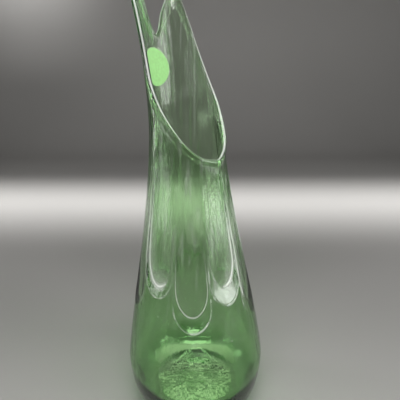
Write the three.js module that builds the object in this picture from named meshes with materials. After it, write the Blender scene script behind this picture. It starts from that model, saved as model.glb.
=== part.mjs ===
// Green art glass vase: one piece of blown glass with ten pressed flutes, long and short by turns, above a smooth
// bulb. The neck is pulled up into a slanted mouth with a low front lip, two tall fingers and a V notch between
// them. A round paper price dot is stuck inside, under the notch. Millimetres, +Z up, origin at the middle of the
// foot, on the table.
import * as THREE from 'three';
import { mergeVertices } from 'three/addons/utils/BufferGeometryUtils.js';

// Body, outside
const footRadius = 28.2;
const bulbRadius = 39.4;
const bulbHeight = 30;
const neckRadius = 18.9;
const neckHeight = 165;
const taperStart = 1.26;
const taperEnd = 1.56;
const mouthFlare = 2.8;
const flarePower = 2.2;
const flareReach = 57;

// Walls, the thick bottom and the hollow under the foot
const bulbWall = 2.2;
const neckWall = 1.8;
const floorHeight = 6.8;
const floorRadius = 22.3;
const bowlHeight = 26;
const footRingWidth = 6;
const footEdge = 1.2;
const kickHeight = 4;

// The neck's lean, left and slightly back, growing again in the fingers
const leanFrom = 41;
const leanSoftness = 20;
const leanX = -0.04;
const leanY = 0.011;
const fingerLeanX = -1.5;
const fingerLeanY = 0.4;

// Flutes: pressed scoops with a ledge round each rounded lower end, which meet in ridges and fade up the neck.
// The tip is how much lower they end on the right than in front.
const fluteCount = 10;
const fluteWidth = 20.2;
const longFluteBottom = 61.6;
const shortFluteStep = 13.6;
const fluteTip = 3.2;
const flutePoint = 13.5;
const floorPoint = 15.4;
const ledgeHeight = 7.4;
const ledgeWidth = 1.2;
const ledgeShare = 0.85;
const ledgeBend = 0.15;
const scoopPower = 1.5;
const bulbFluteDepth = 1.6;
const neckFluteDepth = 0.5;
const mouthFluteDepth = 0.3;
const fadeFrom = 6;
const fadeLength = 34;
const mouthFadeFrom = 140;
const mouthFadeTo = 170;
const innerFollow = 0.6;
const frontAzimuth = -90;

// Mouth: heights of the rim above the table, at azimuths in degrees from +X, counter-clockwise from above
const lipHeight = 146.3;
const notchHeight = 206.8;
const leftFingerHeight = 249.5;
const backFingerHeight = 232;
const lipRounding = 0.8;
const rimOutline = [
  [-40, lipHeight], [-25, 148.4], [-9, 152.6], [0, 157.8], [9, 163.6], [22, 171], [38, 179.6], [53, 190.6],
  [65, 200.8], [76, 213.2], [86, 224.2], [97, backFingerHeight], [109, 224], [119, 216.9], [127.4, 209],
  [133, notchHeight], [138, 209], [147, 220.5], [157, 238], [169, leftFingerHeight], [177, 248], [184, 241],
  [191.5, 229.5], [197, 216], [201, 203], [205, 193], [211, 184.5], [218, 179.1], [228.7, 172.3],
  [241, 166.4], [252.6, 161.5], [262.7, 157.3], [275.7, 152.6], [291.5, 148.6], [307.2, 146.9],
  [320, lipHeight],
];

// The lip's low side turns outwards a little
const lipRoll = 1.4;
const lipRollHeight = 8;
const lipRollAzimuth = -2;
const lipRollSpread = 42;

// Price dot on the inner wall
const dotDiameter = 19;
const dotAzimuth = 148;
const dotHeight = 190.5;
const paperThickness = 0.2;
const adhesiveThickness = 0.15;
const glassClearance = 0.3;
const layerClearance = 0.1;

// Facets
const facetsPerFlute = 8;
const bulbRows = 8;
const pointRows = 10;
const neckRows = 8;
const rollRows = 3;
const bowlRows = 5;
const dotFacets = 32;
const dotRings = 4;
const weldDistance = 1e-4;

const clamp = THREE.MathUtils.clamp;
const smoothstep = THREE.MathUtils.smoothstep;
const radians = THREE.MathUtils.degToRad;
const degrees = THREE.MathUtils.radToDeg;

// Values from one size to another, the first included and the last left to the next stretch
function stretch(from, to, count) {
  return Array.from({ length: count }, (_, i) => from + ((to - from) * i) / count);
}

function outerRadius(height) {
  if (height < bulbHeight) {
    const below = (bulbHeight - height) / bulbHeight;
    return footRadius + (bulbRadius - footRadius) * Math.sqrt(1 - Math.min(below, 1) ** 2);
  }
  const up = clamp((height - bulbHeight) / (neckHeight - bulbHeight), 0, 1);
  const taper = (bulbRadius - neckRadius) * (1 - up ** taperStart) ** taperEnd;
  const flare = mouthFlare * Math.max(0, (height - neckHeight) / flareReach) ** flarePower;
  return neckRadius + taper + flare;
}

function wall(height) {
  const up = smoothstep(height, bulbHeight, neckHeight);
  return bulbWall + (neckWall - bulbWall) * up;
}

// Sideways shift of the centre line at a height
function lean(height) {
  const ramp = (at) => (at - leanFrom + Math.hypot(at - leanFrom, leanSoftness)) / 2;
  const rise = ramp(height) - ramp(0);
  const finger = Math.max(0, (height - neckHeight) / flareReach) ** 2;
  return new THREE.Vector2(leanX * rise + fingerLeanX * finger, leanY * rise + fingerLeanY * finger);
}

// Height of the rim at an azimuth: a smooth curve through the outline that never overshoots it
function rimHeight(azimuth) {
  const first = rimOutline[0][0];
  const at = THREE.MathUtils.euclideanModulo(azimuth - first, 360) + first;
  const spans = rimOutline.length - 1;
  const slope = (i) => {
    const [a, b] = [rimOutline[(i + spans) % spans], rimOutline[((i + spans) % spans) + 1]];
    return (b[1] - a[1]) / (b[0] - a[0]);
  };
  const tangent = (i) => {
    const [before, after] = [slope(i - 1), slope(i)];
    return before * after > 0 ? (2 * before * after) / (before + after) : 0;
  };
  let i = 0;
  while (i < spans - 1 && at > rimOutline[i + 1][0]) i += 1;
  const [[a0, h0], [a1, h1]] = [rimOutline[i], rimOutline[i + 1]];
  const t = (at - a0) / (a1 - a0);
  const bend = (a1 - a0) * t * (1 - t);
  const eased = h0 + (h1 - h0) * t * t * (3 - 2 * t);
  return eased + bend * ((1 - t) * tangent(i) - t * tangent(i + 1));
}

// Distance from the axis of a flute's rounded end at a height, as a share: 1 on the end's outline
function roundedEnd(across, half, height, top, point) {
  return Math.hypot(across / half, Math.max(0, top - height) / point);
}

// An even slope from 0 to 1 with a little rounding at both ends
function ledgeSlope(share) {
  const at = clamp(share, 0, 1);
  const rounding = 2 * ledgeBend * (1 - ledgeBend);
  if (at < ledgeBend) return at ** 2 / rounding;
  if (at > 1 - ledgeBend) return 1 - (1 - at) ** 2 / rounding;
  return (at - ledgeBend / 2) / (1 - ledgeBend);
}

// Depth pressed into the glass at an azimuth and height, from the outside at 0 to the softer inside at 1
function pressedDepth(azimuth, height, inside) {
  const pitch = 360 / fluteCount;
  const flute = Math.round((azimuth - frontAzimuth) / pitch);
  const level = longFluteBottom + (flute % 2 === 0 ? 0 : shortFluteStep);
  const bottom = level - fluteTip * Math.cos(radians(frontAzimuth + flute * pitch));
  const radius = outerRadius(height);
  const across = radians(azimuth - frontAzimuth - flute * pitch) * radius;
  const half = Math.min(fluteWidth / 2, (radius * Math.PI) / fluteCount);
  const edge = roundedEnd(across, half, height, bottom + flutePoint, flutePoint);
  if (edge >= 1) return 0;
  const floorTop = level + ledgeHeight + floorPoint;
  const floor = roundedEnd(across, half - ledgeWidth, height, floorTop, floorPoint);
  const scoop = (1 - edge ** 2) ** scoopPower;
  const ledge = floor > 1 ? ledgeSlope((1 - edge) / (floor - edge)) : 1;
  const onNeck = smoothstep(height, bottom + fadeFrom, bottom + fadeFrom + fadeLength);
  const atMouth = smoothstep(height, mouthFadeFrom, mouthFadeTo);
  const crisp = ledgeShare * (1 - onNeck);
  const outside = crisp * ledge + (1 - crisp) * scoop;
  const neckDepth = bulbFluteDepth + (neckFluteDepth - bulbFluteDepth) * onNeck;
  const depth = neckDepth + (mouthFluteDepth - neckFluteDepth) * atMouth;
  return depth * (outside + (innerFollow * scoop - outside) * inside);
}

// A point of the finished glass, at a depth under its outside before the flutes are pressed in
function leaningPoint(azimuth, height, depth) {
  const radius = outerRadius(height) - depth;
  const shift = lean(height);
  const angle = radians(azimuth);
  return [radius * Math.cos(angle) + shift.x, radius * Math.sin(angle) + shift.y, height];
}

// Moves every vertex of a geometry by a function of its own x, y and z, and joins the seams
function reshape(geometry, move) {
  const position = geometry.attributes.position;
  for (let i = 0; i < position.count; i += 1) {
    position.setXYZ(i, ...move(position.getX(i), position.getY(i), position.getZ(i)));
  }
  geometry.deleteAttribute('normal');
  geometry.deleteAttribute('uv');
  const joined = mergeVertices(geometry, weldDistance);
  joined.computeVertexNormals();
  return joined;
}

// Height where the long and the short flutes have reached their full width, and where the mouth's pull starts
function fluteTop() {
  return longFluteBottom + shortFluteStep + fluteTip + flutePoint;
}

// Half outline of the vase with a level mouth, from the middle of the foot over the lip to the middle of the floor
function glassOutline() {
  const innerRadius = (height) => outerRadius(height) - wall(height);
  const points = [[0, floorHeight]];
  for (const turn of stretch(0, Math.PI / 2, bowlRows)) {
    const reach = innerRadius(bowlHeight) - floorRadius;
    const rise = bowlHeight - floorHeight;
    points.push([floorRadius + reach * Math.sin(turn), floorHeight + rise * (1 - Math.cos(turn))]);
  }
  const fluteStart = longFluteBottom - fluteTip - flutePoint / pointRows;
  const roundingStart = lipHeight - lipRounding;
  const rollStart = lipHeight - lipRollHeight;
  const fluteHeights = [
    ...stretch(fluteStart, fluteTop(), pointRows),
    ...stretch(fluteTop(), rollStart, neckRows),
    ...stretch(rollStart, roundingStart, rollRows),
    roundingStart,
  ];
  const insideHeights = [...stretch(bowlHeight, fluteStart, bulbRows / 2), ...fluteHeights];
  const outsideHeights = [...stretch(footEdge, fluteStart, bulbRows), ...fluteHeights].reverse();
  for (const height of insideHeights) points.push([innerRadius(height), height]);
  points.push([outerRadius(lipHeight) - wall(lipHeight) / 2, lipHeight]);
  for (const height of outsideHeights) points.push([outerRadius(height), height]);
  points.push([footRadius - footEdge, 0]);
  points.push([footRadius - footRingWidth, 0]);
  points.push([(footRadius - footRingWidth) / 2, kickHeight * 0.75]);
  points.push([0, kickHeight]);
  return points.reverse().map(([radius, height]) => new THREE.Vector2(radius, height));
}

// The outline turned round, its mouth pulled up to the rim and rolled outwards, then leaned and fluted
function glassGeometry() {
  const turned = new THREE.LatheGeometry(glassOutline(), fluteCount * facetsPerFlute).rotateX(Math.PI / 2);
  return reshape(turned, (x, y, z) => {
    const azimuth = degrees(Math.atan2(y, x));
    const inset = outerRadius(z) - Math.hypot(x, y);
    const inside = clamp(inset / wall(z), 0, 1);
    const rim = rimHeight(azimuth);
    const pull = (rim - fluteTop()) / (lipHeight - fluteTop());
    const height = z > fluteTop() ? fluteTop() + (z - fluteTop()) * pull : z;
    const lowSide = Math.exp(-(((azimuth - lipRollAzimuth) / lipRollSpread) ** 2));
    const roll = lipRoll * lowSide * smoothstep(height, rim - lipRollHeight, rim);
    return leaningPoint(azimuth, height, inset + pressedDepth(azimuth, height, inside) - roll);
  });
}

// A thin round label bent to the inner wall, with its back a distance in front of the innermost glass
function labelGeometry(distance, thickness) {
  const radius = dotDiameter / 2;
  const rings = [...stretch(0, radius, dotRings), radius];
  const outline = [
    ...rings.map((ring) => new THREE.Vector2(ring, 0)),
    ...rings.reverse().map((ring) => new THREE.Vector2(ring, thickness)),
  ];
  const disc = new THREE.LatheGeometry(outline, dotFacets);
  const innerRadius = outerRadius(dotHeight) - wall(dotHeight);
  const pitch = 360 / fluteCount;
  const deepestAzimuth = frontAzimuth + pitch * Math.round((dotAzimuth - frontAzimuth) / pitch);
  return reshape(disc, (x, y, z) => {
    const height = dotHeight - z;
    const azimuth = dotAzimuth - degrees(x / innerRadius);
    const glassDepth = wall(height) + pressedDepth(deepestAzimuth, height, 1);
    return leaningPoint(azimuth, height, glassDepth + distance + y);
  });
}

function named(name, geometry, material) {
  const mesh = new THREE.Mesh(geometry, new THREE.MeshStandardMaterial(material));
  mesh.name = name;
  return mesh;
}

const greenGlass = { color: 0x8fbf8a, roughness: 0.05, metalness: 0, transparent: true, opacity: 0.5 };
const mintPaper = { color: 0xb1eb9a, roughness: 0.85, metalness: 0 };
const clearGum = { color: 0xd8dccb, roughness: 0.5, metalness: 0 };

const vase = new THREE.Group();
const paperDistance = glassClearance + adhesiveThickness + layerClearance;
vase.add(
  named('glass_body', glassGeometry(), greenGlass),
  named('price_dot_adhesive', labelGeometry(glassClearance, adhesiveThickness), clearGum),
  named('price_dot_paper', labelGeometry(paperDistance, paperThickness), mintPaper),
);

export default vase;
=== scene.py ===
# Green art glass vase: the looks of one piece of blown glass and of the paper price dot inside its mouth.
# Every size is in metres, in the part's own frame: +Z up, origin at the middle of the foot on the table.
import math

import bmesh
import bpy
from bpy.props import FloatProperty, FloatVectorProperty, IntProperty, PointerProperty
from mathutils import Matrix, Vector, noise


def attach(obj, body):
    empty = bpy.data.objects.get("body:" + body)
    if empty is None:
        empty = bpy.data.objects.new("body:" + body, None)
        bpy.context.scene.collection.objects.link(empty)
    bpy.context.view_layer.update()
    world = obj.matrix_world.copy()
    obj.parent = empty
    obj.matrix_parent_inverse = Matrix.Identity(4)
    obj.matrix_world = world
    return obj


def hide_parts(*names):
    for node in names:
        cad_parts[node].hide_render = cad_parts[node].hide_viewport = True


bl_info = {
    "name": "Green Art Glass Vase",
    "version": (1, 0, 0),
    "blender": (4, 5, 0),
    "location": "3D View > Sidebar > Vase",
    "description": "Builds a fluted green glass vase with a pulled mouth, and a small studio round it",
    "category": "Object",
}

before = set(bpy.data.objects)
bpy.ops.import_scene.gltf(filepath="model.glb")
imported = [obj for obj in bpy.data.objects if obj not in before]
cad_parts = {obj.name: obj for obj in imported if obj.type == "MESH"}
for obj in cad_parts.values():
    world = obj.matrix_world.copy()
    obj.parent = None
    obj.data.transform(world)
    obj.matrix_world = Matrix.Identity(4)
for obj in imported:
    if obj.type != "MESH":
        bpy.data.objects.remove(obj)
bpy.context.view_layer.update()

MM = 0.001
# Azimuth of the vase's front, in degrees
FRONT = -90.0
# Exponents of the taper from the bulb to the neck
TAPER_RISE, TAPER_FALL = 1.26, 1.56
# Stretch above the neck over which the fingers open, and how late they do it
FLARE_STRETCH, FLARE_POWER = 57 * MM, 2.2
# Where the centre line starts to lean, how softly, its slopes in x and y, and the fingers' own shift
LEAN_FROM, LEAN_BEND = 41 * MM, 20 * MM
LEAN_SLOPE = (-0.04, 0.011)
FINGER_SHIFT = (-1.5 * MM, 0.4 * MM)
# Share of a flute's depth that its ledge takes, the rounding at the ledge's ends, and the scoop's roundness
LEDGE_SHARE, LEDGE_BEND, SCOOP_POWER = 0.85, 0.15, 1.5
# Height from which the flutes fade towards the mouth, and the stretch that this takes
MOUTH_FADE_FROM, MOUTH_FADE = 140 * MM, 30 * MM
# How deep under the outside the bowl's surface lies at least, and the reach that all other glass is given
BOWL_INSET, NO_REACH = 2.4 * MM, 0.1
# Azimuth of the mouth's low side, and how far round it the lip rolls outwards, in degrees
LOW_SIDE, LOW_SPREAD = -2.0, 42.0
# Height up to which the flutes' creases carry painted highlights, and the stretch over which these fade
CREASE_GLINT_TO, CREASE_GLINT_FADE = 110 * MM, 40 * MM
# Depth of the chilled floor's wrinkles, the edge over which they fade, and the scale and share of each
WRINKLE_DEPTH, WRINKLE_FADE = 0.08 * MM, 3 * MM
WRINKLES = ((520, 1.0), (1100, 0.8), (180, 0.9))
# Place of the camera, and how far down it looks, in degrees
CAMERA_PLACE, CAMERA_TILT = (2.6 * MM, -207 * MM, 185.2 * MM), 17


def length(name, description, default):
    return FloatProperty(name=name, description=description, default=default, min=0.0, unit="LENGTH")


class VaseShape(bpy.types.PropertyGroup):
    """Sizes of the glass, outside and inside."""

    foot_radius: length("Foot radius", "Outer edge of the foot", 28.2 * MM)
    bulb_radius: length("Bulb radius", "Widest part of the bulb", 39.4 * MM)
    bulb_height: length("Bulb height", "Height of the widest part", 30 * MM)
    neck_radius: length("Neck radius", "Outside of the neck over its ridges", 18.9 * MM)
    neck_height: length("Neck height", "Where the taper ends", 165 * MM)
    mouth_flare: length("Mouth flare", "How far the fingers open outwards", 2.8 * MM)
    bulb_wall: length("Bulb wall", "Glass thickness at the bulb", 2.2 * MM)
    neck_wall: length("Neck wall", "Glass thickness at the neck", 1.8 * MM)
    floor_thickness: length("Floor thickness", "Height of the hollow's floor over the table", 6.8 * MM)
    floor_radius: length("Floor radius", "Chilled flat disc inside", 22.3 * MM)
    bowl_height: length("Bowl height", "Where the floor's curve meets the wall", 26 * MM)
    ring_width: length("Foot ring width", "Flat ring that stands on the table", 6 * MM)
    foot_edge: length("Foot edge", "Rounding of the foot's outer edge", 1.2 * MM)
    kick_height: length("Kick height", "Hollow under the foot", 4.0 * MM)


class FluteShape(bpy.types.PropertyGroup):
    """Sizes of the pressed flutes, long and short by turns."""

    count: IntProperty(name="Flutes", description="Number of flutes round the neck", default=10, min=4)
    width: length("Flute width", "Widest that a flute gets on the bulb", 20.2 * MM)
    bulb_depth: length("Depth on the bulb", "Depth of a flute's floor near its lower end", 1.6 * MM)
    neck_depth: length("Depth on the neck", "Depth of a flute between its ridges", 0.5 * MM)
    mouth_depth: length("Depth at the mouth", "Depth that is left of a flute at the mouth", 0.3 * MM)
    bottom: length("Long flute bottom", "Height of the long flutes' lower ends", 61.6 * MM)
    step_up: length("Short flute step", "How much higher the short flutes end", 13.6 * MM)
    tip: length("Tip", "How much lower the flutes end on the right than in front", 3.2 * MM)
    point: length("Point length", "Length of the rounded lower end", 13.5 * MM)
    ledge_end: length("Lower ledge", "Height of the ledge under a flute's floor", 7.4 * MM)
    ledge_side: length("Side ledge", "Width of the ledge beside a flute's floor", 1.2 * MM)
    floor_point: length("Floor point length", "Length of the rounded lower end of a flute's floor", 15.4 * MM)
    fade_from: length("Fade start", "How far above its lower end a flute starts to fade", 6 * MM)
    fade: length("Fade", "Stretch over which a flute fades to its depth on the neck", 34 * MM)
    inner_follow: FloatProperty(
        name="Inner follow", description="Share of each flute that the inside repeats", default=0.6)


class MouthShape(bpy.types.PropertyGroup):
    """Heights and rounding of the pulled mouth."""

    lip_height: length("Lip height", "Lowest part of the rim", 146.3 * MM)
    band: length("Band", "Stretch under the rim that carries the rounding", 4 * MM)
    bead: length("Bead", "Extra thickness of the fire-polished rim", 0.35 * MM)
    roll: length("Roll", "How far the low side of the lip turns outwards", 1.4 * MM)
    roll_height: length("Roll height", "Stretch under the rim that turns outwards", 8 * MM)


class DotShape(bpy.types.PropertyGroup):
    """Sizes and place of the paper price dot."""

    diameter: length("Diameter", "Width of the round dot", 19 * MM)
    height: length("Height", "Height of the dot's middle", 190.5 * MM)
    azimuth: FloatProperty(
        name="Azimuth", description="Direction of the dot's middle, in degrees", default=148.0)
    paper: length("Paper", "Thickness of the paper", 0.2 * MM)
    adhesive: length("Adhesive", "Thickness of the adhesive film", 0.15 * MM)
    glass_gap: length("Glass gap", "Clearance between the glass and the adhesive", 0.3 * MM)
    layer_gap: length("Layer gap", "Clearance between the adhesive and the paper", 0.1 * MM)


class VaseLooks(bpy.types.PropertyGroup):
    """Colours of the glass and of the price dot, and how pale the glass's marks and painted highlights are.
    """

    glass: FloatVectorProperty(
        name="Glass", description="Colour that the glass lets through", subtype="COLOR", size=3,
        default=(0.47, 0.80, 0.36))
    glass_density: FloatProperty(
        name="Glass density", description="How fast the glass takes colour, per metre", default=400.0)
    # Rim share: a painted highlight along the rim's top, drawn as pale glass
    rim_highlight_share: FloatProperty(
        name="Rim share", description="How pale the fire-polished rim is", default=0.75, min=0.0, max=1.0)
    # Floor share: mottling that is partly the floor's chill marks and partly painted caustic light
    floor_share: FloatProperty(
        name="Floor share", description="How pale the chilled floor's mottling is",
        default=0.8, min=0.0, max=1.0)
    # Bowl share: painted light in the bowl round the floor
    bowl_light_share: FloatProperty(
        name="Bowl share", description="How pale the bowl is round the floor", default=0.34, min=0.0, max=1.0)
    # Streak share: pale pulled cords in the glass, paler towards the fingers as painted reflection
    streak_and_sheen_share: FloatProperty(
        name="Streak share", description="How pale the pulled streaks are", default=0.13, min=0.0, max=1.0)
    seed_share: FloatProperty(
        name="Seed share", description="How pale the tiny seeds in the glass are",
        default=0.7, min=0.0, max=1.0)
    # Crease share: painted highlights along the flutes' creases, drawn as pale glass
    crease_highlight_share: FloatProperty(
        name="Crease share", description="How pale the creases of the flutes are worn",
        default=0.36, min=0.0, max=1.0)
    dot: FloatVectorProperty(
        name="Dot", description="Colour of the paper price dot", subtype="COLOR", size=3,
        default=(0.46, 0.88, 0.34))
    gum: FloatVectorProperty(
        name="Gum", description="Colour of the adhesive film", subtype="COLOR", size=3,
        default=(0.66, 0.70, 0.58))


# Azimuth in degrees and height in millimetres of the rim, once round the mouth
RIM_MM = (
    (-40, 146.3), (-25, 148.4), (-9, 152.6), (0, 157.8), (9, 163.6), (22, 171), (38, 179.6), (53, 190.6),
    (65, 200.8), (76, 213.2), (86, 224.2), (97, 232), (109, 224), (119, 216.9), (127.4, 209), (133, 206.8),
    (138, 209), (147, 220.5), (157, 238), (169, 249.5), (177, 248), (184, 241), (191.5, 229.5), (197, 216),
    (201, 203), (205, 193), (211, 184.5), (218, 179.1), (228.7, 172.3), (241, 166.4), (252.6, 161.5),
    (262.7, 157.3), (275.7, 152.6), (291.5, 148.6), (307.2, 146.9), (320, 146.3),
)

# Lamps: name, place, target, width and height, power in watts and spread in degrees
LAMPS = (
    ("right_window", (0.70, -0.26, 0.30), (0, 0, 0.08), (0.32, 0.25), 1.6, 180),
    ("right_high", (0.56, -0.37, 0.52), (0, 0, 0.18), (0.22, 0.20), 0.6, 180),
    ("right_wall", (0.70, -0.25, 0.05), (0, 0, 0.08), (0.35, 0.10), 0.35, 180),
    ("right_glint", (0.285, -0.115, 0.107), (0.022, -0.031, 0.073), (0.12, 0.05), 0.006, 28),
    ("left_window", (-0.70, -0.28, 0.29), (0, 0, 0.08), (0.18, 0.26), 0.7, 180),
    ("left_wall", (-0.70, -0.26, 0.05), (0, 0, 0.08), (0.30, 0.10), 0.3, 180),
    ("left_front", (-0.5, -0.9, 0.30), (0, 0, 0.08), (0.15, 0.25), 0.5, 180),
    ("front_low", (0.0, -1.5, 0.23), (0, 0, 0.10), (0.9, 0.07), 0.12, 180),
    ("front_strip", (0.0, -0.70, 0.62), (0, 0, 0.12), (0.9, 0.07), 2.6, 180),
    ("right_back", (0.62, 0.26, 0.32), (0, 0, 0.12), (0.24, 0.6), 0.9, 180),
    ("left_back", (-0.64, 0.20, 0.26), (0, 0, 0.12), (0.10, 0.4), 1.1, 180),
    ("overhead", (0.0, -0.15, 0.5), (0, -0.15, 0.0), (0.25, 0.25), 0.22, 60),
    ("back_floor", (0, 0.39, 0.32), (0, 0.39, 0.0), (1.1, 0.06), 0.88, 60),
    ("wall_wash", (-0.50, 0.72, 0.60), (-0.50, 1.05, 0.46), (0.3, 0.1), 0.2, 64),
)


def smooth(value):
    """A soft step from 0 to 1."""
    value = min(max(value, 0.0), 1.0)
    return value * value * (3 - 2 * value)


def outer_radius(shape, height):
    """Outside of the glass at a height, before the flutes are pressed in."""
    if height < shape.bulb_height:
        below = min((shape.bulb_height - height) / shape.bulb_height, 1.0)
        return shape.foot_radius + (shape.bulb_radius - shape.foot_radius) * math.sqrt(1 - below ** 2)
    up = min((height - shape.bulb_height) / (shape.neck_height - shape.bulb_height), 1.0)
    taper = (shape.bulb_radius - shape.neck_radius) * (1 - up ** TAPER_RISE) ** TAPER_FALL
    flare = shape.mouth_flare * max(0.0, (height - shape.neck_height) / FLARE_STRETCH) ** FLARE_POWER
    return shape.neck_radius + taper + flare


def wall(shape, height):
    """Thickness of the glass at a height."""
    up = smooth((height - shape.bulb_height) / (shape.neck_height - shape.bulb_height))
    return shape.bulb_wall + (shape.neck_wall - shape.bulb_wall) * up


def lean(shape, height):
    """Sideways shift of the centre line at a height."""
    def ramp(at):
        return (at - LEAN_FROM + math.hypot(at - LEAN_FROM, LEAN_BEND)) / 2
    rise = ramp(height) - ramp(0)
    finger = max(0.0, (height - shape.neck_height) / FLARE_STRETCH) ** 2
    return tuple(slope * rise + shift * finger for slope, shift in zip(LEAN_SLOPE, FINGER_SHIFT))


def rim_height(azimuth):
    """Height of the rim at an azimuth in degrees."""
    first, spans = RIM_MM[0][0], len(RIM_MM) - 1
    at = (azimuth - first) % 360 + first

    def slope(i):
        (a0, h0), (a1, h1) = RIM_MM[i % spans], RIM_MM[i % spans + 1]
        return (h1 - h0) / (a1 - a0)

    def tangent(i):
        before, after = slope(i - 1), slope(i)
        return 2 * before * after / (before + after) if before * after > 0 else 0.0

    i = max(k for k in range(spans) if RIM_MM[k][0] <= at)
    (a0, h0), (a1, h1) = RIM_MM[i], RIM_MM[i + 1]
    t = (at - a0) / (a1 - a0)
    bend = (a1 - a0) * t * (1 - t)
    return MM * (h0 + (h1 - h0) * t * t * (3 - 2 * t) + bend * ((1 - t) * tangent(i) - t * tangent(i + 1)))


def rim_table(shape, steps):
    """Rim height and stretch of the rounding at every step round the mouth, from an angle of 0."""
    rows, probe, most = [], 0.7, 5.0
    for i in range(steps):
        azimuth = 360 * i / steps
        rise = rim_height(azimuth + probe) - rim_height(azimuth - probe)
        stretch = math.hypot(1.0, rise / (math.radians(2 * probe) * shape.neck_radius))
        rows.append((rim_height(azimuth), min(stretch, most)))
    return rows


def ledge_slope(share):
    """An even slope from 0 to 1 with a little rounding at both ends."""
    share, bend = min(max(share, 0.0), 1.0), LEDGE_BEND
    if share < bend:
        return share ** 2 / (2 * bend * (1 - bend))
    if share > 1 - bend:
        return 1 - (1 - share) ** 2 / (2 * bend * (1 - bend))
    return (share - bend / 2) / (1 - bend)


def flute_place(shape, flute, azimuth, height):
    """Place in the nearest flute: shares of the way out to its edge and to its floor's edge, and the fade."""
    pitch = 360 / flute.count
    nearest = round((azimuth - FRONT) / pitch)
    radius = outer_radius(shape, height)
    across = math.radians(azimuth - FRONT - nearest * pitch) * radius
    half = min(flute.width / 2, math.radians(pitch / 2) * radius)
    middle = math.radians(FRONT + nearest * pitch)
    level = flute.bottom + (flute.step_up if nearest % 2 else 0)
    bottom = level - flute.tip * math.cos(middle)
    rim = math.hypot(across / half, max(0.0, (bottom + flute.point - height) / flute.point))
    side, full = half - flute.ledge_side, level + flute.ledge_end + flute.floor_point
    floor = math.hypot(across / side, max(0.0, (full - height) / flute.floor_point))
    return rim, floor, smooth((height - bottom - flute.fade_from) / flute.fade)


def flute_relief(shape, flute, azimuth, height, inside):
    """Depth of the flutes at an azimuth and height: crisp ledges outside, soft scoops inside."""
    rim, floor, neck = flute_place(shape, flute, azimuth, height)
    if rim >= 1:
        return 0.0
    scooped = (1 - rim ** 2) ** SCOOP_POWER
    ledge = ledge_slope((1 - rim) / (floor - rim)) if floor > 1 else 1.0
    crisp = (1 - neck) * (LEDGE_SHARE * ledge + (1 - LEDGE_SHARE) * scooped) + neck * scooped
    depth = flute.bulb_depth + (flute.neck_depth - flute.bulb_depth) * neck
    depth += (flute.mouth_depth - flute.neck_depth) * smooth((height - MOUTH_FADE_FROM) / MOUTH_FADE)
    return depth * (crisp + (flute.inner_follow * scooped - crisp) * inside)


def glass_outline(shape, flute, mouth):
    """Half outline of the vase with a level mouth, as pairs of radius and height."""
    def inner(height):
        return outer_radius(shape, height) - wall(shape, height)

    def bead(height):
        return mouth.bead * smooth((height - top) / (mouth.band - half))

    floor_rings, bowl_rings, wall_rings, band_rings = 40, 20, 66, 8
    lip_rings, edge_rings, kick_rings = 12, 5, 16
    lip, top = mouth.lip_height, mouth.lip_height - mouth.band
    half = wall(shape, lip) / 2
    points = [(shape.floor_radius * i / floor_rings, shape.floor_thickness) for i in range(floor_rings)]
    reach, rise = inner(shape.bowl_height) - shape.floor_radius, shape.bowl_height - shape.floor_thickness
    for i in range(bowl_rings):
        turn = math.pi / 2 * i / bowl_rings
        points.append((shape.floor_radius + reach * math.sin(turn),
                       shape.floor_thickness + rise * (1 - math.cos(turn))))
    for i in range(wall_rings):
        height = shape.bowl_height + (top - shape.bowl_height) * i / wall_rings
        points.append((inner(height), height))
    for i in range(band_rings):
        height = top + (mouth.band - half) * i / band_rings
        points.append((inner(height) - bead(height), height))
    for i in range(lip_rings + 1):
        turn = math.pi * i / lip_rings
        points.append((outer_radius(shape, lip) - half - (half + mouth.bead) * math.cos(turn),
                       lip - half + half * math.sin(turn)))
    for i in range(1, band_rings + 1):
        height = lip - half - (mouth.band - half) * i / band_rings
        points.append((outer_radius(shape, height) + bead(height), height))

    # Down the outside, in finer steps where the flutes end
    fine_from = flute.bottom + flute.step_up + flute.point + flute.tip
    fine_to = flute.bottom - flute.tip - 1 * MM
    for start, end, count in ((top, fine_from, 30), (fine_from, fine_to, 56), (fine_to, shape.foot_edge, 34)):
        for i in range(1, count + 1):
            height = start + (end - start) * i / count
            points.append((outer_radius(shape, height), height))

    # Round the foot's edge, over the ring and up into the hollow under it
    edge = shape.foot_edge
    start, ring = outer_radius(shape, edge), shape.foot_radius - edge
    for i in range(1, edge_rings + 1):
        turn = math.pi / 2 * i / edge_rings
        points.append((ring + (start - ring) * math.cos(turn), edge * (1 - math.sin(turn))))
    inner_ring, bevel, step = shape.foot_radius - shape.ring_width, 0.4 * MM, 0.05 * MM
    points.append((inner_ring + bevel, 0))
    for i in range(kick_rings + 1):
        share = 1 - i / kick_rings
        points.append((inner_ring * share, shape.kick_height * (1 - share ** 2) + step))
    return points


def turned(outline, steps):
    """A bmesh turned round the Z axis from pairs of radius and height."""
    bm = bmesh.new()
    verts = [bm.verts.new((radius, 0, height)) for radius, height in outline]
    edges = [bm.edges.new(pair) for pair in zip(verts, verts[1:])]
    bmesh.ops.spin(bm, geom=verts + edges, axis=(0, 0, 1), cent=(0, 0, 0), angle=math.tau, steps=steps,
                   use_merge=True)
    bmesh.ops.remove_doubles(bm, verts=bm.verts, dist=1e-7)
    return bm


def new_piece(name, bm, material):
    """Makes a bmesh into a finished, smooth object at the origin with one material."""
    bmesh.ops.recalc_face_normals(bm, faces=bm.faces)
    mesh = bpy.data.meshes.new(name)
    bm.to_mesh(mesh)
    bm.free()
    mesh.materials.append(material)
    for polygon in mesh.polygons:
        polygon.use_smooth = True
    piece = bpy.data.objects.new(name, mesh)
    bpy.context.scene.collection.objects.link(piece)
    return piece


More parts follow.
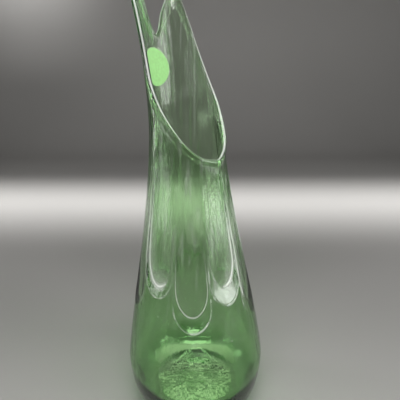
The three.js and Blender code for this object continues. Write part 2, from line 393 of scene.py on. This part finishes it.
class Sock:
    """A shader socket that Python's operators work on, adding Math nodes."""

    def __init__(self, tree, socket):
        self.tree, self.socket = tree, socket

    def math(self, operation, *values):
        return self.tree.node("ShaderNodeMath", {"operation": operation}, dict(enumerate(values)))[0]

    def absolute(self):
        return self.math("ABSOLUTE", self)

    def at_least(self, other):
        return self.math("MAXIMUM", self, other)

    def __add__(self, other):
        return self.math("ADD", self, other)

    def __sub__(self, other):
        return self.math("SUBTRACT", self, other)

    def __mul__(self, other):
        return self.math("MULTIPLY", self, other)

    def __pow__(self, other):
        return self.math("POWER", self, other)

    def __rsub__(self, other):
        return self.math("SUBTRACT", other, self)

    __radd__, __rmul__ = __add__, __mul__


class Tree:
    """A material's node tree, emptied and ready for its nodes."""

    def __init__(self, name):
        self.material = bpy.data.materials.new(name)
        self.material.use_nodes = True
        self.nodes, self.links = self.material.node_tree.nodes, self.material.node_tree.links
        self.nodes.clear()

    def node(self, kind, settings=None, values=None):
        """Adds a node, sets it up, fills its sockets and returns its outputs as Socks."""
        node = self.nodes.new(kind)
        for name, value in (settings or {}).items():
            setattr(node, name, value)
        for key, value in (values or {}).items():
            socket = node.inputs[key]
            if isinstance(value, Sock):
                self.links.new(value.socket, socket)
            else:
                socket.default_value = value
        return [Sock(self, output) for output in node.outputs]

    def place(self):
        """Object coordinates."""
        return self.node("ShaderNodeTexCoord")[3]

    def attribute(self, name):
        """A number stored at the mesh's vertices."""
        return self.node("ShaderNodeAttribute", {"attribute_name": name})[2]

    def noise(self, scale, detail=3.0, stretch=(1, 1, 1)):
        """Noise on Object coordinates, stretched along the axes."""
        drawn = self.node("ShaderNodeMapping", values={"Vector": self.place(), "Scale": stretch})[0]
        return self.node("ShaderNodeTexNoise", values={"Vector": drawn, "Scale": scale, "Detail": detail})[0]

    def cells(self, scale):
        """Distance from the nearest of many scattered points, in cell widths."""
        return self.node("ShaderNodeTexVoronoi", values={"Vector": self.place(), "Scale": scale})[0]

    def split(self, vector):
        """The three numbers of a vector."""
        return self.node("ShaderNodeSeparateXYZ", values={0: vector})

    def ramp(self, value, low, high):
        """0 below a low value and 1 above a high one, with a soft step between them."""
        return self.node("ShaderNodeMapRange", {"interpolation_type": "SMOOTHSTEP"}, {
            0: value, 1: low, 2: high})[0]

    def fall(self, value, low, high):
        """1 below a low value and 0 above a high one, with a soft step between them."""
        return 1.0 - self.ramp(value, low, high)

    def line(self, distance, core, edge):
        """1 along a line where a distance is 0, out to a core, and 0 beyond an edge."""
        return self.fall(distance.absolute(), core, edge)

    def mix(self, share, first, second):
        """A colour between two colours."""
        return self.node("ShaderNodeMix", {"data_type": "RGBA"}, {0: share, 6: first, 7: second})[2]


def floor_chill_and_light(tree, looks, side, back):
    """Share of pale glass on the chilled floor and painted light in the bowl round it, and the bowl's painted
    light zone.
    """
    reach, uneven = tree.attribute("floor_reach"), tree.noise(110, 2)
    disc = tree.fall(reach + 3 * MM * uneven, 23.2 * MM, 24.8 * MM)
    grain = tree.ramp(tree.noise(1300, 4, (1, 0.45, 1)), 0.43, 0.6)
    # Mottling partly from chill marks and partly painted caustic light, paler towards the front edge
    near = tree.fall(back, -20 * MM, -6 * MM)
    mottle = 0.08 + grain * (0.7 + 0.5 * tree.ramp(uneven, 0.45, 0.6))
    mottle = mottle * (1.0 + 0.7 * near) + 0.4 * near

    # Distance beyond a line between a circle and a rounded square round the disc
    wide, across, along = side.absolute(), side * side, back * back
    beyond = 0.6 * (across * across + along * along) ** 0.25 + 0.4 * reach - 29.9 * MM
    # The bowl's painted light zone: a band behind the disc and a wider ring round its front
    behind = tree.ramp(back, 8 * MM, 24 * MM)
    bowl = tree.fall(reach, 45 * MM, 55 * MM)
    back_bowl_light = bowl * tree.fall(beyond, -1.8 * MM, 0.4 * MM) * tree.ramp(reach, 25 * MM, 26.8 * MM)
    bowl_light = behind * back_bowl_light + (1.0 - behind) * tree.fall(reach, 26 * MM, 37 * MM)

    # A painted highlight along the crest of the bowl's back, and a painted roof-shaped highlight line inside
    # it
    crest_highlight = 1.8 * tree.line(beyond, 0.4 * MM, 1.1 * MM) * (1.0 - 0.9 * tree.ramp(wide, 6 * MM, 12 * MM))
    roof = ((back + 1.15 * wide - 30 * MM) * 0.66).at_least(back - 26.2 * MM)
    highlight_lines = behind * bowl * (crest_highlight + 1.4 * tree.line(roof, 0.3 * MM, 0.7 * MM))
    share = disc * mottle * looks.floor_share + (1.0 - disc) * bowl_light * looks.bowl_light_share * (0.7 + behind)
    return share + highlight_lines * 0.7, bowl_light


def painted_crease_highlights(tree, side, height):
    """Share of pale glass that paints highlights on the creases round the flutes' lower ends, in front and at
    the sides.
    """
    glint_fade, edge, ledge = (tree.attribute(name) for name in ("crease_highlight_fade", "flute_edge", "floor_edge"))
    wide, patchy = side.absolute(), tree.ramp(tree.noise(110, 2), 0.45, 0.6)
    front = tree.fall(wide, 9.5 * MM, 12 * MM) * tree.fall(height, 80 * MM, 105 * MM)
    outer = tree.ramp(wide, 13 * MM, 17.5 * MM) * tree.fall(wide, 25 * MM, 27 * MM)
    # Painted highlight lines along the floors' and flutes' edges, a painted highlight band on the side ledges
    # and a painted glow above each lower end
    inner_line = tree.line(ledge, 0.1 * MM, 0.4 * MM)
    outer_line = (0.7 + 0.5 * patchy) * tree.line(edge, 0.1 * MM, 0.3 * MM + 0.4 * MM * patchy)
    band = outer * tree.fall(edge, -0.4 * MM, 0.0) * tree.ramp(ledge, -1.4 * MM, 0.0)
    band = band * tree.fall(ledge, 0.7 * MM, 1.5 * MM + 0.8 * MM * patchy)
    haze = 0.5 * outer * tree.ramp(ledge, -7.5 * MM, 0.0) * tree.fall(ledge, 0.0, 0.8 * MM)
    held = 0.15 + 0.85 * front + 0.85 * outer
    return glint_fade * (held * (inner_line + outer_line) + 0.8 * band + haze)


def glass_material(looks):
    """Green glass with pulled streaks, seeds, painted highlights on the rim and the flutes' creases, and a
    chilled, mottled floor with painted light.
    """
    tree = Tree("green_glass")
    side, back, height = tree.split(tree.place())
    streaks = tree.noise(420, 4, (1, 1, 0.03))
    pulled = tree.ramp(height, 50 * MM, 130 * MM)
    bump = tree.node("ShaderNodeBump", values={
        "Strength": 0.6, "Distance": 0.001, "Height": streaks * (0.15 + 0.85 * pulled)})[0]
    glass = tree.node("ShaderNodeBsdfPrincipled", values={
        "Base Color": (1, 1, 1, 1), "Roughness": 0.0, "IOR": 1.5, "Transmission Weight": 1.0,
        "Normal": bump})[0]

    floor, bowl_light = floor_chill_and_light(tree, looks, side, back)
    # Pale pulled cords in the glass; their rise towards the fingers is painted reflection
    cords_and_sheen = tree.ramp(streaks, 0.52, 0.72) * (0.3 + 0.7 * pulled)
    cords_and_sheen = cords_and_sheen * (1.0 + 2.5 * tree.ramp(height, 180 * MM, 230 * MM))
    seeds = tree.fall(tree.cells(120), 0.02, 0.045)
    # Pale shares: a painted rim highlight, the floor's marks with painted light, seeds, cords with painted
    # reflection and painted crease highlights
    share = tree.attribute("painted_rim_highlight") * looks.rim_highlight_share + floor
    share = share + seeds * looks.seed_share + cords_and_sheen * looks.streak_and_sheen_share
    share = share + painted_crease_highlights(tree, side, height) * looks.crease_highlight_share
    # Pale tone of the frost and of the painted highlights, tinted where the bowl carries painted light
    frost_and_highlight, lit_bowl = (0.85, 0.88, 0.83, 1), (1.0, 0.84, 0.92, 1)
    frost_and_light_tone = tree.mix(bowl_light, frost_and_highlight, lit_bowl)
    pale = tree.node("ShaderNodeBsdfPrincipled", values={"Base Color": frost_and_light_tone, "Roughness": 0.3})[0]
    solid = tree.node("ShaderNodeMixShader", values={0: share, 1: glass, 2: pale})[0]

    # The glass's shadow is a plain tinted one
    clear = tree.node("ShaderNodeBsdfTransparent", values={"Color": (0.62, 0.70, 0.60, 1)})[0]
    shadow = tree.node("ShaderNodeLightPath")[1]
    both = tree.node("ShaderNodeMixShader", values={0: shadow, 1: solid, 2: clear})[0]
    tint = tree.node("ShaderNodeVolumeAbsorption", values={
        "Color": (*looks.glass, 1), "Density": looks.glass_density})[0]
    tree.node("ShaderNodeOutputMaterial", values={"Surface": both, "Volume": tint})
    return tree.material


def paper_material(looks):
    """Coated mint paper with faint fibres and a slightly uneven print."""
    tree = Tree("dot_paper")
    dark = (*[0.9 * channel for channel in looks.dot], 1)
    colour = tree.mix(tree.ramp(tree.noise(900, 4), 0.35, 0.65), dark, (*looks.dot, 1))
    bump = tree.node("ShaderNodeBump", values={
        "Strength": 0.25, "Distance": 0.00005, "Height": tree.noise(4000, 3)})[0]
    paper = tree.node("ShaderNodeBsdfPrincipled", values={
        "Base Color": colour, "Roughness": 0.62 + 0.16 * tree.noise(1500, 3), "Normal": bump})[0]
    tree.node("ShaderNodeOutputMaterial", values={"Surface": paper})
    return tree.material


def gum_material(looks):
    """Dull gum with a few trapped air spots."""
    tree = Tree("dot_adhesive")
    spots = tree.ramp(tree.noise(1200, 2), 0.56, 0.62)
    colour = tree.mix(spots, (*looks.gum, 1), (0.86, 0.88, 0.84, 1))
    bump = tree.node("ShaderNodeBump", values={"Strength": 0.3, "Distance": 0.00005, "Height": spots})[0]
    gum = tree.node("ShaderNodeBsdfPrincipled", values={
        "Base Color": colour, "Roughness": 0.35 + 0.2 * spots, "Normal": bump})[0]
    tree.node("ShaderNodeOutputMaterial", values={"Surface": gum})
    return tree.material


class VASE_OT_camera(bpy.types.Operator):
    """Stands the camera where the photograph was taken"""

    bl_idname = "vase.camera"
    bl_label = "Camera"

    def execute(self, context):
        data = bpy.data.cameras.new("camera")
        data.sensor_width = 36
        data.lens = 36
        data.clip_start = 0.01
        camera = bpy.data.objects.new("camera", data)
        camera.location = CAMERA_PLACE
        camera.rotation_euler = (math.radians(90 - CAMERA_TILT), 0, 0)
        context.scene.collection.objects.link(camera)
        context.scene.camera = camera
        return {"FINISHED"}


class VASE_OT_glass(bpy.types.Operator):
    """Turns, pulls, leans and flutes the glass body"""

    bl_idname = "vase.glass"
    bl_label = "Glass body"

    def execute(self, context):
        scene = context.scene
        shape, flute, mouth = scene.vase_shape, scene.vase_flutes, scene.vase_mouth
        steps = 32 * flute.count
        bm = turned(glass_outline(shape, flute, mouth), steps)
        rims = rim_table(shape, steps)
        straight = flute.bottom + flute.step_up + flute.point + flute.tip
        lip, top = mouth.lip_height, mouth.lip_height - mouth.band
        # Numbers kept at the vertices: the rim's painted highlight mask, the reach in the bowl, the fade of
        # the painted crease highlights and the flutes' edge distances
        rim_glint, reach, glint_fade, flute_edge, floor_edge = (
            bm.verts.layers.float.new(name)
            for name in ("painted_rim_highlight", "floor_reach", "crease_highlight_fade", "flute_edge", "floor_edge"))
        # Each vertex keeps its inset from the outside while its height is pulled up to the slanted rim
        for vert in bm.verts:
            radius, height = math.hypot(vert.co.x, vert.co.y), vert.co.z
            angle = math.atan2(vert.co.y, vert.co.x)
            azimuth = math.degrees(angle)
            inset = outer_radius(shape, height) - radius
            inside = min(max(inset / wall(shape, height), 0), 1)
            outward = 0.0
            in_bowl = inset > BOWL_INSET and shape.floor_thickness / 2 < height < shape.bowl_height
            vert[reach] = radius if in_bowl else NO_REACH
            if height > straight:
                rim, stretch = rims[round(azimuth * steps / 360) % steps]
                end = rim - mouth.band * stretch
                low_side = math.exp(-(((azimuth - LOW_SIDE) / LOW_SPREAD) ** 2))
                if height > top:
                    # Mask of the rim's painted highlight, a little wider on the low side of the mouth
                    width = 0.13 * MM + 0.10 * MM * low_side
                    vert[rim_glint] = smooth((height - lip + width) / (0.92 * width))
                    height = rim - (lip - height) * stretch
                else:
                    height = straight + (height - straight) * (end - straight) / (top - straight)
                rolled = smooth((height - rim + mouth.roll_height) / mouth.roll_height)
                outward = mouth.roll * low_side * rolled
            elif in_bowl and radius < shape.floor_radius:
                spot = Vector((vert.co.x, vert.co.y, 0))
                wrinkle = sum(share * noise.noise(spot * scale) for scale, share in WRINKLES)
                height += WRINKLE_DEPTH * wrinkle * smooth((shape.floor_radius - radius) / WRINKLE_FADE)
            if inside < 0.5:
                rim_at, floor_at, _ = flute_place(shape, flute, azimuth, height)
                vert[flute_edge] = (rim_at - 1) * flute.width / 2
                vert[floor_edge] = (floor_at - 1) * (flute.width / 2 - flute.ledge_side)
                # Fade with height of the painted crease highlights
                vert[glint_fade] = 1 - smooth((height - CREASE_GLINT_TO) / CREASE_GLINT_FADE)
            radius = outer_radius(shape, height) - inset + outward
            radius -= flute_relief(shape, flute, azimuth, height, inside)
            x, y = lean(shape, height)
            vert.co = (radius * math.cos(angle) + x, radius * math.sin(angle) + y, height)
        piece = new_piece("green_glass_vase", bm, glass_material(scene.vase_looks))
        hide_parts("glass_body")
        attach(piece, "root")
        return {"FINISHED"}


class VASE_OT_price_dot(bpy.types.Operator):
    """Makes the paper price dot and its adhesive, bent to the inside of the neck"""

    bl_idname = "vase.price_dot"
    bl_label = "Price dot"

    def execute(self, context):
        scene = context.scene
        dot, looks = scene.vase_dot, scene.vase_looks
        self.disc(scene, "adhesive_film", dot.glass_gap, dot.adhesive, gum_material(looks), "dot_adhesive")
        paper_gap = dot.glass_gap + dot.adhesive + dot.layer_gap
        self.disc(scene, "paper_dot", paper_gap, dot.paper, paper_material(looks), "dot_paper")
        return {"FINISHED"}

    def disc(self, scene, name, gap, thickness, material, slot):
        """A thin round disc that follows the neck's inside at a gap."""
        shape, flute, dot = scene.vase_shape, scene.vase_flutes, scene.vase_dot
        radius, round_off, rings = dot.diameter / 2, thickness * 0.35, 24
        outline = [(radius * i / rings, 0) for i in range(rings)]
        for level, side in ((round_off, -90), (thickness - round_off, 0)):
            for i in range(4):
                turn = math.radians(side + 30 * i)
                outline.append((radius - round_off + round_off * math.cos(turn),
                                level + round_off * math.sin(turn)))
        outline += [(radius * i / rings, thickness) for i in reversed(range(rings))]
        bm = turned(outline, 96)
        pitch = 360 / flute.count
        deepest = FRONT + pitch * round((dot.azimuth - FRONT) / pitch)
        inner = outer_radius(shape, dot.height) - wall(shape, dot.height)
        for vert in bm.verts:
            height = dot.height - vert.co.y
            angle = math.radians(dot.azimuth) - vert.co.x / inner
            reach = outer_radius(shape, height) - wall(shape, height) - gap - vert.co.z
            reach -= flute_relief(shape, flute, deepest, height, 1)
            x, y = lean(shape, height)
            vert.co = (reach * math.cos(angle) + x, reach * math.sin(angle) + y, height)
        piece = new_piece(name, bm, material)
        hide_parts("price_" + slot)
        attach(piece, "root")


class VASE_OT_studio(bpy.types.Operator):
    """Sets the pale floor, the sweep behind it and the soft lamps"""

    bl_idname = "vase.studio"
    bl_label = "Studio"

    def execute(self, context):
        scene = context.scene
        tree = Tree("studio_paper")
        paper = tree.node("ShaderNodeBsdfPrincipled", values={
            "Base Color": (0.42, 0.41, 0.395, 1), "Roughness": 0.6})[0]
        tree.node("ShaderNodeOutputMaterial", values={"Surface": paper})
        bm = bmesh.new()
        far, bend, tall, wide = 0.75, 0.3, 1.3, 1.3
        line = [(-0.9, 0)] + [
            (far + bend * math.sin(turn), bend * (1 - math.cos(turn)))
            for turn in [math.pi / 2 * i / 16 for i in range(17)]] + [(far + bend, tall)]
        verts = [bm.verts.new((-wide, y, z)) for y, z in line]
        edges = [bm.edges.new(pair) for pair in zip(verts, verts[1:])]
        made = bmesh.ops.extrude_edge_only(bm, edges=edges)["geom"]
        moved = [item for item in made if isinstance(item, bmesh.types.BMVert)]
        bmesh.ops.translate(bm, verts=moved, vec=(2 * wide, 0, 0))
        sweep = new_piece("studio_sweep", bm, tree.material)

        for name, location, target, size, power, spread in LAMPS:
            data = bpy.data.lights.new(name, "AREA")
            data.shape, data.size, data.size_y, data.energy = "RECTANGLE", size[0], size[1], power
            data.spread = math.radians(spread)
            light = bpy.data.objects.new(name, data)
            light.location = location
            light.rotation_euler = (Vector(target) - Vector(location)).to_track_quat("-Z", "Y").to_euler()
            scene.collection.objects.link(light)

        world = bpy.data.worlds.new("studio_air")
        world.use_nodes = True
        world.node_tree.nodes["Background"].inputs["Color"].default_value = (0.5, 0.5, 0.5, 1)
        world.node_tree.nodes["Background"].inputs["Strength"].default_value = 0.13
        scene.world = world
        scene.view_settings.view_transform = "Standard"
        return {"FINISHED"}


class VASE_PT_vase(bpy.types.Panel):
    """Buttons and sizes of the vase in the sidebar"""

    bl_idname = "VASE_PT_vase"
    bl_label = "Green Art Glass Vase"
    bl_space_type = "VIEW_3D"
    bl_region_type = "UI"
    bl_category = "Vase"

    def draw(self, context):
        layout = self.layout
        for operator in (VASE_OT_camera, VASE_OT_glass, VASE_OT_price_dot, VASE_OT_studio):
            layout.operator(operator.bl_idname)
        for name in ("vase_shape", "vase_flutes", "vase_mouth", "vase_dot", "vase_looks"):
            group = getattr(context.scene, name)
            box = layout.box()
            for key in group.bl_rna.properties.keys():
                if key not in ("rna_type", "name"):
                    box.prop(group, key)


CLASSES = (VaseShape, FluteShape, MouthShape, DotShape, VaseLooks, VASE_OT_camera, VASE_OT_glass,
           VASE_OT_price_dot, VASE_OT_studio, VASE_PT_vase)


def register():
    for item in CLASSES:
        bpy.utils.register_class(item)
    bpy.types.Scene.vase_shape = PointerProperty(type=VaseShape)
    bpy.types.Scene.vase_flutes = PointerProperty(type=FluteShape)
    bpy.types.Scene.vase_mouth = PointerProperty(type=MouthShape)
    bpy.types.Scene.vase_dot = PointerProperty(type=DotShape)
    bpy.types.Scene.vase_looks = PointerProperty(type=VaseLooks)


def unregister():
    del bpy.types.Scene.vase_looks, bpy.types.Scene.vase_dot, bpy.types.Scene.vase_mouth
    del bpy.types.Scene.vase_flutes, bpy.types.Scene.vase_shape
    for item in reversed(CLASSES):
        bpy.utils.unregister_class(item)


def main():
    register()
    bpy.ops.vase.camera()
    bpy.ops.vase.glass()
    bpy.ops.vase.price_dot()
    bpy.ops.vase.studio()


if __name__ == "__main__":
    main()
